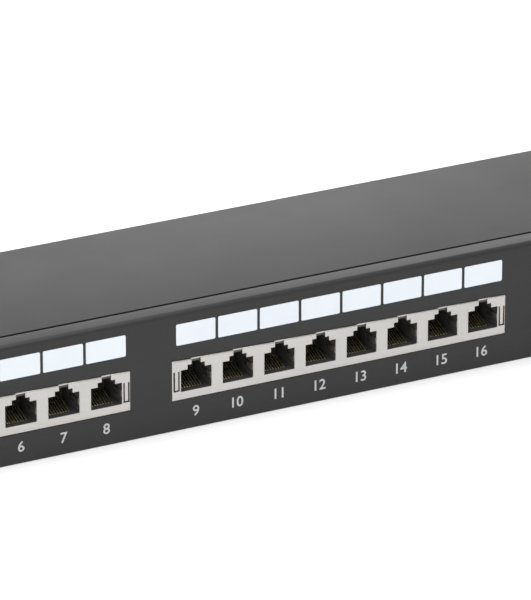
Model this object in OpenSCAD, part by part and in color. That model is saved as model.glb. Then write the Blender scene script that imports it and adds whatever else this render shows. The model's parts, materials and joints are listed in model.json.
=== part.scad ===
// Shielded 24-port patch panel for a 19-inch rack, one rack unit high.
// X runs along the panel, Y into the rack and Z up. The origin is the middle of the rack
// mounting plane: the rear face of the front panel, halfway up it. Sizes are millimetres.

/* [Front panel] */
// Width over both rack ears
panel_w = 482.6; // [470:0.1:600]
// Height of one rack unit, less its clearance
panel_h = 44; // [42:0.5:56]
// Thickness of the front panel's steel
front_t = 1.5; // [1.2:0.1:2]
// Inside radius of the bends in sheet metal
bend_inner_r = 0.3; // [0.1:0.1:0.8]
// Depth of the top flange, from the front face
flange_d = 7.4; // [6:0.1:9]
// Radius of the ears' corners
ear_r = 1.5; // [0.5:0.1:2.5]
// Distance from a rack slot's centre to the panel's end
slot_inset = 8.75; // [8:0.05:10]
// Height from the lower rack slots to the upper ones
slot_rise = 31.75; // [28:0.05:34]
// Width of a rack slot
slot_w = 6.8; // [5.5:0.1:7.5]
// Length of a rack slot, end to end
slot_l = 10; // [8:0.5:11]

/* [Ports] */
// Distance from one port to the next
port_pitch = 16; // [13.3:0.1:16.2]
// Plain panel between two groups of ports
group_gap = 18; // [16:0.5:19]
// Width of a port's opening
opening_w = 11.7; // [11.7:0.1:11.9]
// Height of a port's opening below its latch notch
opening_h = 8; // [7:0.1:8.4]
// Width of the latch notch
notch_w = 6.6; // [5.5:0.1:7.5]
// Height of the latch notch
notch_h = 1.65; // [1.2:0.05:2]
// Width of the key slot above the latch notch
key_w = 3.5; // [2.5:0.1:4.5]
// Height of a jack shield
shield_h = 14.8; // [14:0.1:15.8]
// Distance from the panel's top edge down to the jack shields
shield_drop = 18; // [16:0.1:19]
// Height of the shield's bar below the openings
sill_h = 3.1; // [2.9:0.1:3.5]
// Width of the shield's post at each end of a group
end_post_w = 3.3; // [2.5:0.1:5]
// Thickness of the shield's sheet
shield_t = 0.5; // [0.3:0.1:0.6]
// Distance that the shields stand proud of the front face
shield_proud = 0.3; // [0.1:0.1:0.6]
// Depth of a jack, from its face to its back
jack_d = 17.8; // [17:0.1:21.4]

/* [Labels] */
// Height of a label field
label_h = 7.8; // [6:0.1:9]
// Distance from the panel's top edge down to the labels
label_drop = 4.5; // [3.5:0.1:6]
// Gap between two label fields
label_gap = 1.1; // [0.5:0.1:1.5]
// Thickness of a label
label_t = 0.2; // [0.1:0.05:0.3]

/* [Chassis] */
// Distance from the tray's side to the panel's end
body_inset = 20.3; // [17:0.1:21]
// Thickness of the tray's and the cover's steel
sheet_t = 1; // [0.8:0.1:1.2]
// Depth from the front face to the cover's rear face
cover_d = 77; // [76:0.5:110]
// Depth from the cover's rear face to the tray's rear face
shelf_d = 31.5; // [24:0.5:40]
// Open seam between the top flange and the cover
seam_w = 1.2; // [0.6:0.1:1.6]
// Height of the cover's side flanges
side_flange_h = 16; // [12:0.5:24]
// Height of the cover's rear flap
flap_h = 20; // [16:0.5:22]
// Gap between pieces that slide past each other
slide_gap = 0.3; // [0.2:0.05:0.4]

/* [Circuit boards and terminal blocks] */
// Thickness of a circuit board
board_t = 1.6; // [1:0.1:2]
// Height of a terminal block
idc_h = 16; // [12:0.5:18]
// Depth of a terminal block
idc_d = 9.6; // [8:0.1:11]
// Distance between the front row of terminal blocks and the rear row
idc_row_pitch = 17; // [14:0.5:20]
// Distance from the jacks' backs to the front row's middle
idc_first = 15; // [14:0.5:18]
// Distance from one wire slot to the next
wire_pitch = 3.05; // [2.6:0.05:3.1]
// Width of a wire slot
wire_slot_w = 0.9; // [0.6:0.1:1.2]
// Diameter of the cables that the shield clamps hold
cable_dia = 6.4; // [5:0.2:7]

/* [Hidden] */
$fn = 48;
side = ["left", "middle", "right"];
groups = len(side);
ports = 8;                               // ports in a group
contacts = 8;                            // contacts in a port and slots in a terminal block
eps = 0.01;                              // overlap of solids that are joined, and of cutters that meet
past = 1;                                // how far a cutter runs past the sheet that it cuts
fit_gap = 0.1;                           // clearance of pieces that are held in one another

z_top = panel_h / 2;
z_bottom = -panel_h / 2;
group_w = ports * port_pitch;
group_pitch = group_w + group_gap;

// Jacks
face_y = -front_t;                       // the panel's front face
shield_y0 = face_y - shield_proud;
shield_y1 = shield_y0 + jack_d;
shield_z1 = z_top - shield_drop;
shield_z0 = shield_z1 - shield_h;
shield_half = (group_w - port_pitch + opening_w) / 2 + end_post_w;
sill_z = shield_z0 + sill_h;             // floor of a port's opening
lintel_z = sill_z + opening_h;           // shoulder beside the latch notch
notch_z = lintel_z + notch_h;            // roof of the latch notch, and foot of the key slot
housing_y0 = shield_y0 + shield_t;
housing_y1 = shield_y1 - shield_t - fit_gap;
housing_z1 = shield_z1 - shield_t - fit_gap;
housing_back_t = 3;                      // plastic behind a port's cavity
housing_roof_t = 0.6;                    // plastic above a housing's key slot
key_z1 = housing_z1 - housing_roof_t;
key_d = 8;                               // depth of the key slot in a housing
cavity_y1 = housing_y1 - housing_back_t;
trench_z = sill_z - 1.8;                 // floor of the trench that holds the contacts
trench_half = 4.1;
trench_y0 = housing_y0 + 2.5;
trench_y1 = cavity_y1 + 2;
tail_slot_d = 1;                         // depth of the slot that the contacts' tails go down
contact_pitch = 1.016;
contact_w = 0.46;
contact_t = 0.3;
contact_clear = 0.45;                    // from the trench's walls to a contact's middle line
contact_bend = 0.5;                      // radius of a contact's nose
contact_rise = 3.1;                      // height of a contact's tip above the cavity's floor
contact_tip_gap = 0.7;                   // from a contact's tip to the cavity's back
window_gap = 0.2;                        // between a shield and the panel's window

// Labels
label_z1 = z_top - label_drop;

// Front panel
body_half = panel_w / 2 - body_inset;
bend_r = front_t + bend_inner_r;         // outside of the bend along the top edge
slot_x = panel_w / 2 - slot_inset;
relief_w = 1.2;
relief_h = bend_r + 0.7;
stud_r = 1.5;
stud_l = 6.5;
stud_z = z_bottom + sheet_t + 3.5;       // leaves a nut clear of the tray's floor
stud_hole_r = stud_r + 0.2;
nut_bore_r = stud_r + 0.02;
between_x = group_pitch / 2;             // middle of the gap between two groups
outer_x = (body_half + group_pitch + shield_half) / 2;
stud_xs = [-outer_x, -group_pitch, -between_x, 0, between_x, group_pitch, outer_x];
nut_r = 3.1;
nut_h = 2.4;

// Tray
floor_z = z_bottom + sheet_t;
sheet_lap = sheet_t / 2;                  // how far the walls of one folded piece run into one another
tray_bend_r = sheet_t + bend_inner_r;
cover_y1 = face_y + cover_d;
tray_y1 = cover_y1 + shelf_d;
tray_side_z = z_top - max(bend_r, sheet_t + slide_gap);
tray_side_y1 = cover_y1 - sheet_t - slide_gap;
shelf_side_h = 14;
front_lip_z = shield_z0 - 2.6;
rear_lip_h = 5;
lug_stem_w = 4;
lug_head_w = 9.5;
lug_head_h = 3;
lug_stem_h = 4.5;
post_w = 10;
post_y1 = cover_y1 - sheet_t - fit_gap;
post_y0 = post_y1 - sheet_t;
post_x = body_half - sheet_t - post_w / 2 - 1;
post_above = 5;                          // height of a post above its screw
post_xs = [-post_x, -between_x, between_x, post_x];

// Ground stud
ground_x = -(body_half - 9);
ground_y = (cover_y1 + tray_y1) / 2;
ground_base_r = 2.5;
ground_base_h = 4.4;
ground_r = 2;
ground_l = 8;
ground_hole_r = ground_base_r + 0.03;    // bore of the washer and the nut
ground_washer_r = 5;
ground_washer_t = 0.8;
ground_nut_r = 4.3;
ground_nut_h = ground_base_h - 1;

// Cover
cover_y0 = face_y + flange_d + seam_w;
cover_half = body_half + slide_gap + sheet_t;
cover_bend_r = sheet_t + bend_inner_r;
lip_z1 = z_top - front_t - slide_gap;
lip_half = body_half - sheet_t - 1;
cover_screw_z = z_top - 10;
cover_screw_r = 1.5;
cover_screw_l = 6;
cover_screw_head_r = 2.8;
screw_head_h = 1.8;
cover_hole_r = 1.7;
post_hole_r = cover_screw_r + 0.05;

// Circuit boards and terminal blocks
board_half = shield_half + 1.9;
board_y0 = housing_y0 + 3.9;
board_y1 = cover_y1 - 11.5;
board_z1 = shield_z0;
board_z0 = board_z1 - board_t;
board_hole_r = 1.6;
board_screw_r = 1.4;
board_screw_l = board_t + 4;
board_screw_head_r = 2.6;
board_screw_x = board_half - 4.5;
board_screw_ys = [shield_y1 + 6, board_y1 - 4.6];
standoff_r = 3;
standoff_bore_r = board_screw_r + 0.03;
standoff_foot_t = 1;                     // solid metal below a standoff's bore
idc_pitch = 2 * port_pitch;
idc_w = contacts * wire_pitch + 2.2;
idc_row_y = [shield_y1 + idc_first, shield_y1 + idc_first + idc_row_pitch];
idc_z1 = board_z1 + idc_h;
idc_slot_h = 8.5;                        // depth of a wire slot
idc_tip_h = 2.2;                         // height of a tooth's pointed tip
idc_step = 1;                            // how much lower every second tooth is
idc_lead = 0.35;                         // how much a slot's mouth widens at each side
idc_lead_h = 0.6;
idc_end_w = 0.8;                         // width of the slope at a block's ends
fork_w = wire_pitch - 0.75;
fork_t = 0.5;
fork_h = idc_h - 4.5;
fork_lift = 1.5;                         // from the board to a fork's foot
fork_pocket_z1 = idc_z1 - 3;
fork_slit = 0.3;                         // width of the slit between a fork's tines
fork_slit_h = 7;
fork_shoulder_h = 1.2;                   // slope at each outer corner of a fork
fork_tip_w = 0.9;                        // distance between the two tips
fork_tip_drop = 0.3;

// Shield clamps
clamp_y0 = board_y1 + 1.4;
clamp_d = 7;
clamp_t = 0.6;
clamp_half = shield_half + 1.6;
clamp_tab_w = 11;
clamp_tab_h = 12.5;
clamp_tab_y = clamp_d / 2 + 0.6;
clamp_notch_h = 4.5;                     // from a notch's centre up to its tab's top
clamp_rivet_x = clamp_half - 2.6;
rivet_r = 1.5;
rivet_hole_r = rivet_r + 0.05;
rivet_head_r = 2.2;
rivet_head_h = 1;
rivet_edge_r = 0.5;

idc_names = [for (k = [0 : groups * ports - 1]) str("idc_block_", k < 9 ? "0" : "", k + 1)];

black_paint = "#3b3b3d";
nickel = "#c9c5c1";
zinc = "#b9bcc0";

function group_x(g) = (g - (groups - 1) / 2) * group_pitch;
function port_x(g, p) = group_x(g) + (p - (ports - 1) / 2) * port_pitch;
function idc_x(g, p) = group_x(g) + (floor(p / 2) - (ports / 2 - 1) / 2) * idc_pitch;
function slot_offset(i, pitch) = (i - (contacts - 1) / 2) * pitch;

// Both sides of a bent wire: each point of its middle line moved by half its thickness.
function wire_normal(path, i) =
    let (a = path[max(i - 1, 0)], b = path[min(i + 1, len(path) - 1)], d = b - a)
    [-d[1], d[0]] / norm(d);
function wire_side(path, offset) =
    [for (i = [0 : len(path) - 1]) path[i] + wire_normal(path, i) * offset];
function reversed(list) = [for (i = [len(list) - 1 : -1 : 0]) list[i]];
function wire_outline(path, t) = concat(wire_side(path, t / 2), reversed(wire_side(path, -t / 2)));

// A box between two opposite corners
module block(low, high) {
    translate(low) cube(high - low);
}

// Extrudes a (Y, Z) profile along X, centred
module along_x(width) {
    rotate([90, 0, 90]) linear_extrude(width, center = true) children();
}

// Extrudes an (X, Z) profile along Y
module along_y(y0, y1) {
    translate([0, y1, 0]) rotate([90, 0, 0]) linear_extrude(y1 - y0) children();
}

// A cylinder along Y
module rod_y(r, y0, y1) {
    translate([0, y0, 0]) rotate([-90, 0, 0]) cylinder(r = r, h = y1 - y0);
}

module rounded_rectangle(size, r) {
    square([size[0] - 2 * r, size[1]], center = true);
    square([size[0], size[1] - 2 * r], center = true);
    for (x = [-1, 1], z = [-1, 1])
        translate([x * (size[0] / 2 - r), z * (size[1] / 2 - r)]) circle(r);
}

// A quarter of a ring about the origin, between the directions of +X and +Y
module quarter_ring(outer, inner) {
    intersection() {
        difference() {
            circle(outer);
            circle(inner);
        }
        square(outer + past);
    }
}

// A channel open at the top: its lower outside edges are bent to radius r
module channel(half, low, high, r) {
    translate([-half + r, low]) square([2 * (half - r), high - low]);
    translate([-half, low + r]) square([2 * half, high - low - r]);
    for (x = [-1, 1]) translate([x * (half - r), low + r]) circle(r);
}

// A pan-head screw along +Z, with the head above the origin and a cross recess
module pan_screw(shank_r, shank_l, head_r, head_h) {
    recess_w = head_r * 0.28;
    difference() {
        union() {
            translate([0, 0, -shank_l]) cylinder(r = shank_r, h = shank_l + eps);
            rotate_extrude() {
                square([head_r - head_h / 2, head_h]);
                square([head_r, head_h / 2]);
                intersection() {
                    translate([head_r - head_h / 2, head_h / 2]) circle(head_h / 2);
                    square([head_r, head_h]);
                }
            }
        }
        for (a = [0, 90])
            rotate([0, 0, a])
                translate([-head_r * 0.55, -recess_w / 2, head_h * 0.35])
                    cube([head_r * 1.1, recess_w, head_h]);
    }
}

module hex_nut(r, bore, h) {
    difference() {
        cylinder(r = r, h = h, $fn = 6);
        translate([0, 0, -eps]) cylinder(r = bore, h = h + 2 * eps);
    }
}

module rack_slot() {
    end = (slot_l - slot_w) / 2;
    for (x = [-end, end]) translate([x, 0, 0]) rod_y(slot_w / 2, face_y - past, past);
    block([-end, face_y - past, -slot_w / 2], [end, past, slot_w / 2]);
}

module face_outline() {
    difference() {
        rounded_rectangle([panel_w, panel_h], ear_r);
        translate([-body_half - relief_w, z_top - relief_h])
            square([2 * (body_half + relief_w), relief_h + past]);
    }
    translate([-body_half, z_top - relief_h - past]) square([2 * body_half, relief_h + past - bend_r]);
}

module top_flange_profile() {
    translate([face_y + bend_r, z_top - bend_r]) mirror([1, 0]) quarter_ring(bend_r, bend_inner_r);
    translate([face_y + bend_r, z_top - front_t]) square([flange_d - bend_r, front_t]);
}

module front_panel() color(black_paint) {
    difference() {
        union() {
            along_y(face_y, 0) face_outline();
            along_x(2 * body_half) top_flange_profile();
            for (x = stud_xs) translate([x, 0, stud_z]) rod_y(stud_r, -front_t / 2, stud_l);
        }
        for (g = [0 : groups - 1])
            translate([group_x(g), 0, 0])
                block([-shield_half - window_gap, face_y - past, shield_z0 - window_gap],
                      [shield_half + window_gap, past, shield_z1 + window_gap]);
        for (x = [-slot_x, slot_x], z = [-slot_rise / 2, slot_rise / 2])
            translate([x, 0, z]) rack_slot();
    }
}

module panel_nuts() color(zinc) {
    for (x = stud_xs)
        translate([x, sheet_t, stud_z])
            rotate([-90, 0, 0]) hex_nut(nut_r, nut_bore_r, nut_h);
}

module tie_lug() {
    stem_z = floor_z + rear_lip_h - eps;
    block([-lug_stem_w / 2, tray_y1 - sheet_t, stem_z],
          [lug_stem_w / 2, tray_y1, stem_z + lug_stem_h + 2 * eps]);
    block([-lug_head_w / 2, tray_y1 - sheet_t, stem_z + lug_stem_h],
          [lug_head_w / 2, tray_y1, stem_z + lug_stem_h + lug_head_h]);
}

module tray_shell() {
    difference() {
        along_y(0, tray_y1)
            difference() {
                channel(body_half, z_bottom, tray_side_z, tray_bend_r);
                channel(body_half - sheet_t, floor_z, tray_side_z + past, bend_inner_r);
            }
        block([-body_half - past, tray_side_y1, z_bottom + shelf_side_h],
              [body_half + past, tray_y1 + past, z_top]);
    }
}

module base_tray() color(black_paint) {
    difference() {
        union() {
            tray_shell();
            block([-body_half + sheet_lap, 0, z_bottom + sheet_lap],
                  [body_half - sheet_lap, sheet_t, front_lip_z]);
            block([-body_half + sheet_lap, tray_y1 - sheet_t, z_bottom + sheet_lap],
                  [body_half - sheet_lap, tray_y1, floor_z + rear_lip_h]);
            for (g = [0 : groups - 1], p = [0 : ports - 1]) translate([port_x(g, p), 0, 0]) tie_lug();
            for (x = post_xs)
                block([x - post_w / 2, post_y0, z_bottom + sheet_lap],
                      [x + post_w / 2, post_y1, cover_screw_z + post_above]);
        }
        for (x = stud_xs) translate([x, 0, stud_z]) rod_y(stud_hole_r, -past, sheet_t + past);
        for (x = post_xs)
            translate([x, 0, cover_screw_z]) rod_y(post_hole_r, post_y0 - past, post_y1 + past);
        for (g = [0 : groups - 1], x = [-clamp_rivet_x, clamp_rivet_x])
            translate([group_x(g) + x, clamp_y0 + clamp_d / 2, z_bottom - past])
                cylinder(r = rivet_hole_r, h = sheet_t + 2 * past);
    }
}

module cover_profile() {
    translate([cover_y0, z_top - sheet_t]) square([cover_y1 - cover_bend_r - cover_y0, sheet_t]);
    translate([cover_y1 - cover_bend_r, z_top - cover_bend_r])
        quarter_ring(cover_bend_r, bend_inner_r);
    translate([cover_y1 - sheet_t, z_top - flap_h]) square([sheet_t, flap_h - cover_bend_r]);
}

module top_cover() color(black_paint) {
    difference() {
        union() {
            along_x(2 * cover_half) cover_profile();
            along_x(2 * lip_half) {
                translate([cover_y0, lip_z1 - sheet_t]) square([sheet_t, z_top - lip_z1 + sheet_t]);
                translate([slide_gap, lip_z1 - sheet_t]) square([cover_y0 - slide_gap + eps, sheet_t]);
            }
            for (x = [-1, 1])
                translate([x * (cover_half - sheet_t / 2), 0, 0])
                    block([-sheet_t / 2, cover_y0, z_top - side_flange_h],
                          [sheet_t / 2, cover_y1 - sheet_lap, z_top - sheet_lap]);
        }
        for (x = post_xs)
            translate([x, 0, cover_screw_z])
                rod_y(cover_hole_r, cover_y1 - sheet_t - past, cover_y1 + past);
    }
}

module cover_screws() color(zinc) {
    for (x = post_xs)
        translate([x, cover_y1, cover_screw_z]) rotate([-90, 0, 0])
            pan_screw(cover_screw_r, cover_screw_l, cover_screw_head_r, screw_head_h);
}

module port_labels(g) color("#eef2f8") {
    field = [port_pitch - label_gap, label_h];
    for (p = [0 : ports - 1])
        translate([port_x(g, p), 0, label_z1 - label_h / 2])
            along_y(face_y - label_t, face_y) rounded_rectangle(field, 0.5);
}

module jack_shield(g) color(nickel) translate([group_x(g), 0, 0]) {
    difference() {
        block([-shield_half, shield_y0, shield_z0], [shield_half, shield_y1, shield_z1]);
        // hollow, open at the bottom behind the front bar
        block([-shield_half + shield_t, housing_y0, shield_z0 + shield_t],
              [shield_half - shield_t, shield_y1 - shield_t, shield_z1 - shield_t]);
        block([-shield_half + shield_t, board_y0, shield_z0 - past],
              [shield_half - shield_t, shield_y1 - shield_t, shield_z0 + past]);
        for (p = [0 : ports - 1]) translate([port_x(g, p) - group_x(g), 0, 0]) {
            block([-opening_w / 2, shield_y0 - past, sill_z], [opening_w / 2, housing_y0 + eps, lintel_z]);
            block([-notch_w / 2, shield_y0 - past, lintel_z - eps],
                  [notch_w / 2, housing_y0 + eps, notch_z]);
            block([-key_w / 2, shield_y0 - past, notch_z - eps],
                  [key_w / 2, housing_y0 + eps, shield_z1 + past]);
        }
    }
}

module housing_profile() {
    polygon([
        [housing_y0, shield_z0 + shield_t + fit_gap], [board_y0 + fit_gap, shield_z0 + shield_t + fit_gap],
        [board_y0 + fit_gap, board_z1], [housing_y1, board_z1],
        [housing_y1, housing_z1], [housing_y0, housing_z1]
    ]);
}

module jack_housings(g) color("#1b1a19") {
    first_port_x = (ports - 1) / 2 * port_pitch;
    width = min(port_pitch, 2 * (shield_half - shield_t - first_port_x)) - fit_gap;
    for (p = [0 : ports - 1]) translate([port_x(g, p), 0, 0])
        difference() {
            along_x(width) housing_profile();
            block([-opening_w / 2, housing_y0 - past, sill_z], [opening_w / 2, cavity_y1, lintel_z]);
            block([-notch_w / 2, housing_y0 - past, lintel_z - eps], [notch_w / 2, cavity_y1, notch_z]);
            block([-key_w / 2, housing_y0 - past, notch_z - eps], [key_w / 2, housing_y0 + key_d, key_z1]);
            block([-trench_half, trench_y0, trench_z], [trench_half, trench_y1, sill_z + eps]);
            block([-trench_half, trench_y1 - tail_slot_d, board_z1 - past],
                  [trench_half, trench_y1, trench_z + eps]);
        }
}

// Middle line of one contact: up from the board, forward along the trench, round and back up the cavity
module contact_profile() {
    tail_y = trench_y1 - contact_clear;
    run_z = trench_z + contact_clear;
    nose_y = trench_y0 + contact_clear - 0.1;
    path = [
        [tail_y, board_z1], [tail_y, run_z - contact_t], [tail_y - contact_t, run_z],
        [nose_y + contact_bend, run_z], [nose_y, run_z + contact_bend],
        [nose_y + contact_bend, run_z + 2 * contact_bend],
        [cavity_y1 - contact_tip_gap, sill_z + contact_rise]
    ];
    polygon(wire_outline(path, contact_t));
}

module jack_contacts(g) color("#d8ab4a") {
    for (p = [0 : ports - 1], i = [0 : contacts - 1])
        translate([port_x(g, p) + slot_offset(i, contact_pitch), 0, 0])
            along_x(contact_w) contact_profile();
}

module circuit_board(g) color("#1f5a3a") translate([group_x(g), 0, 0]) {
    difference() {
        block([-board_half, board_y0, board_z0], [board_half, board_y1, board_z1]);
        for (x = [-board_screw_x, board_screw_x], y = board_screw_ys)
            translate([x, y, board_z0 - past]) cylinder(r = board_hole_r, h = board_t + 2 * past);
    }
}

module at_board_screws() {
    for (g = [0 : groups - 1], x = [-board_screw_x, board_screw_x], y = board_screw_ys)
        translate([group_x(g) + x, y, 0]) children();
}

module board_standoffs() color(zinc) {
    at_board_screws() translate([0, 0, floor_z])
        difference() {
            cylinder(r = standoff_r, h = board_z0 - floor_z, $fn = 6);
            translate([0, 0, standoff_foot_t]) cylinder(r = standoff_bore_r, h = board_z0 - floor_z);
        }
}

module board_screws() color(zinc) {
    at_board_screws() translate([0, 0, board_z1])
        pan_screw(board_screw_r, board_screw_l, board_screw_head_r, screw_head_h);
}

// One terminal block's (X, Z) outline: pointed teeth with a wire slot between each two
module idc_profile() {
    slot_z = idc_z1 - idc_slot_h;
    tooth_z = idc_z1 - idc_tip_h;
    throat = wire_slot_w / 2;
    mouth = throat + idc_lead;
    half = idc_w / 2;
    teeth = [for (i = [0 : contacts - 1])
        let (x = slot_offset(i, wire_pitch), next = x + wire_pitch / 2)
        each concat(
            [[x - mouth, tooth_z], [x - throat, tooth_z - idc_lead_h], [x - throat, slot_z],
             [x + throat, slot_z], [x + throat, tooth_z - idc_lead_h], [x + mouth, tooth_z]],
            i < contacts - 1 ? [[next, i % 2 == 1 ? idc_z1 : idc_z1 - idc_step]] : [])];
    polygon(concat([[-half, board_z1], [-half, idc_z1 - idc_step], [-half + idc_end_w, idc_z1]], teeth,
                   [[half - idc_end_w, idc_z1], [half, idc_z1 - idc_step], [half, board_z1]]));
}

module idc_block(k) color("#e9e8e2") {
    g = floor(k / ports);
    p = k % ports;
    translate([idc_x(g, p), idc_row_y[p % 2], 0])
        difference() {
            along_y(-idc_d / 2, idc_d / 2) idc_profile();
            for (i = [0 : contacts - 1])
                translate([slot_offset(i, wire_pitch), 0, 0])
                    block([-fork_w / 2 - fit_gap, -fork_t / 2 - fit_gap, board_z1 + fork_lift],
                          [fork_w / 2 + fit_gap, fork_t / 2 + fit_gap, fork_pocket_z1]);
        }
}

// A forked contact: two tines with a narrow slit that cuts through a wire's insulation
module fork_outline() {
    foot = board_z1 + fork_lift;
    top = foot + fork_h;
    half = fork_w / 2;
    slit = fork_slit / 2;
    tip = fork_tip_w / 2;
    shoulder_z = top - fork_shoulder_h;
    tip_z = top - fork_tip_drop;
    slit_z = top - fork_slit_h;
    polygon([
        [-half, foot], [half, foot], [half, shoulder_z], [tip, tip_z], [slit, shoulder_z], [slit, slit_z],
        [-slit, slit_z], [-slit, shoulder_z], [-tip, tip_z], [-half, shoulder_z]
    ]);
}

module idc_contacts(g) color(nickel) {
    for (p = [0 : ports - 1], i = [0 : contacts - 1])
        translate([idc_x(g, p) + slot_offset(i, wire_pitch), idc_row_y[p % 2], 0])
            along_y(-fork_t / 2, fork_t / 2) fork_outline();
}

// A strip riveted to the tray, with a notched tab that grips each cable's screen
module shield_clamp(g) color(nickel) translate([group_x(g), clamp_y0, floor_z]) {
    notch_low = clamp_tab_h - clamp_notch_h;
    difference() {
        union() {
            block([-clamp_half, 0, 0], [clamp_half, clamp_d, clamp_t]);
            for (p = [0 : ports - 1])
                translate([port_x(g, p) - group_x(g), clamp_tab_y, 0])
                    block([-clamp_tab_w / 2, 0, clamp_t / 2], [clamp_tab_w / 2, clamp_t, clamp_tab_h]);
        }
        for (p = [0 : ports - 1]) translate([port_x(g, p) - group_x(g), clamp_tab_y, 0]) {
            translate([0, 0, notch_low]) rod_y(cable_dia / 2, -past, clamp_t + past);
            block([-cable_dia / 2, -past, notch_low], [cable_dia / 2, clamp_t + past, clamp_tab_h + past]);
        }
        for (x = [-clamp_rivet_x, clamp_rivet_x])
            translate([x, clamp_d / 2, -past]) cylinder(r = rivet_hole_r, h = clamp_t + 2 * past);
    }
}

module clamp_rivets() color(zinc) {
    for (g = [0 : groups - 1], x = [-clamp_rivet_x, clamp_rivet_x])
        translate([group_x(g) + x, clamp_y0 + clamp_d / 2, z_bottom]) {
            cylinder(r = rivet_r, h = sheet_t + clamp_t + eps);
            translate([0, 0, sheet_t + clamp_t]) rotate_extrude() {
                square([rivet_head_r - rivet_edge_r, rivet_head_h]);
                square([rivet_head_r, rivet_head_h - rivet_edge_r]);
                translate([rivet_head_r - rivet_edge_r, rivet_head_h - rivet_edge_r]) circle(rivet_edge_r);
            }
        }
}

module ground_stud() color(zinc) translate([ground_x, ground_y, floor_z]) {
    cylinder(r = ground_base_r, h = ground_base_h);
    translate([0, 0, ground_base_h - eps]) cylinder(r = ground_r, h = ground_l + eps);
}

module ground_washer() color(zinc) translate([ground_x, ground_y, floor_z]) {
    difference() {
        cylinder(r = ground_washer_r, h = ground_washer_t);
        translate([0, 0, -past]) cylinder(r = ground_hole_r, h = ground_washer_t + 2 * past);
    }
}

module ground_nut() color("#c9a350") translate([ground_x, ground_y, floor_z + ground_washer_t])
    hex_nut(ground_nut_r, ground_hole_r, ground_nut_h);

front_panel();
panel_nuts();
base_tray();
top_cover();
cover_screws();
for (g = [0 : groups - 1]) {
    port_labels(g);
    jack_shield(g);
    jack_housings(g);
    jack_contacts(g);
    circuit_board(g);
    idc_contacts(g);
    shield_clamp(g);
}
for (k = [0 : groups * ports - 1])
    idc_block(k);
board_standoffs();
board_screws();
clamp_rivets();
ground_stud();
ground_washer();
ground_nut();
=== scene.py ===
"""Looks of a shielded 24-port patch panel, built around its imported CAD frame.

Run as a script, it registers the panel's operators, calls each of them once and leaves a finished
scene. Lengths are metres; sizes that come from the frame are read from it, not repeated here.
"""
import json
import math
from functools import cache

import bmesh
import bpy
from bpy.props import FloatProperty, FloatVectorProperty, PointerProperty
from mathutils import Euler, Matrix, Vector


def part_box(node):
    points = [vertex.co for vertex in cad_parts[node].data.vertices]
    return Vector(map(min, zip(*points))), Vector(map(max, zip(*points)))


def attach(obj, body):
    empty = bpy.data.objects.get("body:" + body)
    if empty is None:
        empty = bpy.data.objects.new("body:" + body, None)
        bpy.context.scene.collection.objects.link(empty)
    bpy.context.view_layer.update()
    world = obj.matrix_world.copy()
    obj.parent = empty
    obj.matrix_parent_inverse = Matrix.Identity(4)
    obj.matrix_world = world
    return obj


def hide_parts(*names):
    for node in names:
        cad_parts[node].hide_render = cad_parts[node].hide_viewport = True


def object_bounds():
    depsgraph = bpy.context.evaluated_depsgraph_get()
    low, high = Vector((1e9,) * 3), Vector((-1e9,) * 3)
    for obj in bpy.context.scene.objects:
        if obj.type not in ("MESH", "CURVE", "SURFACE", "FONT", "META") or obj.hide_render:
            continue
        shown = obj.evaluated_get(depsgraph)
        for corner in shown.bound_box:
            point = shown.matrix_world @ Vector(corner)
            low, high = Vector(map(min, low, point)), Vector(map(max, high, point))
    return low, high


bl_info = {
    "name": "Patch Panel Finish",
    "version": (1, 0, 0),
    "blender": (4, 5, 0),
    "location": "View3D > Sidebar > Patch Panel",
    "description": "Finishes a rack patch panel: sheet metal, jacks, terminal blocks, print and studio",
    "category": "Object",
}

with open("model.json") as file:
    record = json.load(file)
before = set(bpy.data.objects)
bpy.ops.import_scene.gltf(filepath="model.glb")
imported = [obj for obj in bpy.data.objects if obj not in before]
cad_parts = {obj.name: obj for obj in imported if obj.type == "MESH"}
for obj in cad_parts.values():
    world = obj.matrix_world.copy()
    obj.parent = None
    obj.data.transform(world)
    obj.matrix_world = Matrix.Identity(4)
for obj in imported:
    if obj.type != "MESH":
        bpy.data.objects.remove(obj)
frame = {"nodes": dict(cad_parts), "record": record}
CAD_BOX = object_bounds()

MM = 0.001
SIDES = ("left", "middle", "right")
MOUTHS = [Vector(m["pos_m"]) for m in frame["record"]["mounts"] if m["name"].startswith("port_")]
GROUP_SIZE = len(MOUTHS) // len(SIDES)
# Each group's side, its ports' numbers and the middles of their mouths
GROUPS = [(side, range(i * GROUP_SIZE + 1, (i + 1) * GROUP_SIZE + 1), MOUTHS[i * GROUP_SIZE:][:GROUP_SIZE])
          for i, side in enumerate(SIDES)]
PORT_PITCH = MOUTHS[1].x - MOUTHS[0].x
HALF_MOUTH = 5.85 * MM
CONTACTS = 8
CONTACT_PITCH = 1.016 * MM
CLEAR = 0.03 * MM               # between a bore and what it holds
EDGE = "edge"                   # attribute that marks rounded edges
UPRIGHT = (math.pi / 2, 0, 0)
INTO_RACK = (-math.pi / 2, 0, 0)


# ---------------------------------------------------------------- settings

def colour(name, text, default):
    return FloatVectorProperty(name=name, description=text, subtype="COLOR", size=3, min=0, max=1,
                               default=default)


def length(name, text, default_mm, low=0.0, high=10.0):
    return FloatProperty(name=name, description=text, subtype="DISTANCE", unit="LENGTH", precision=5,
                         min=low * MM, max=high * MM, default=default_mm * MM)


def angle(name, text, degrees):
    return FloatProperty(name=name, description=text, subtype="ANGLE", default=math.radians(degrees))


def power(name, text, watts):
    return FloatProperty(name=name, description=text, min=0, max=500, default=watts)


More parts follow.
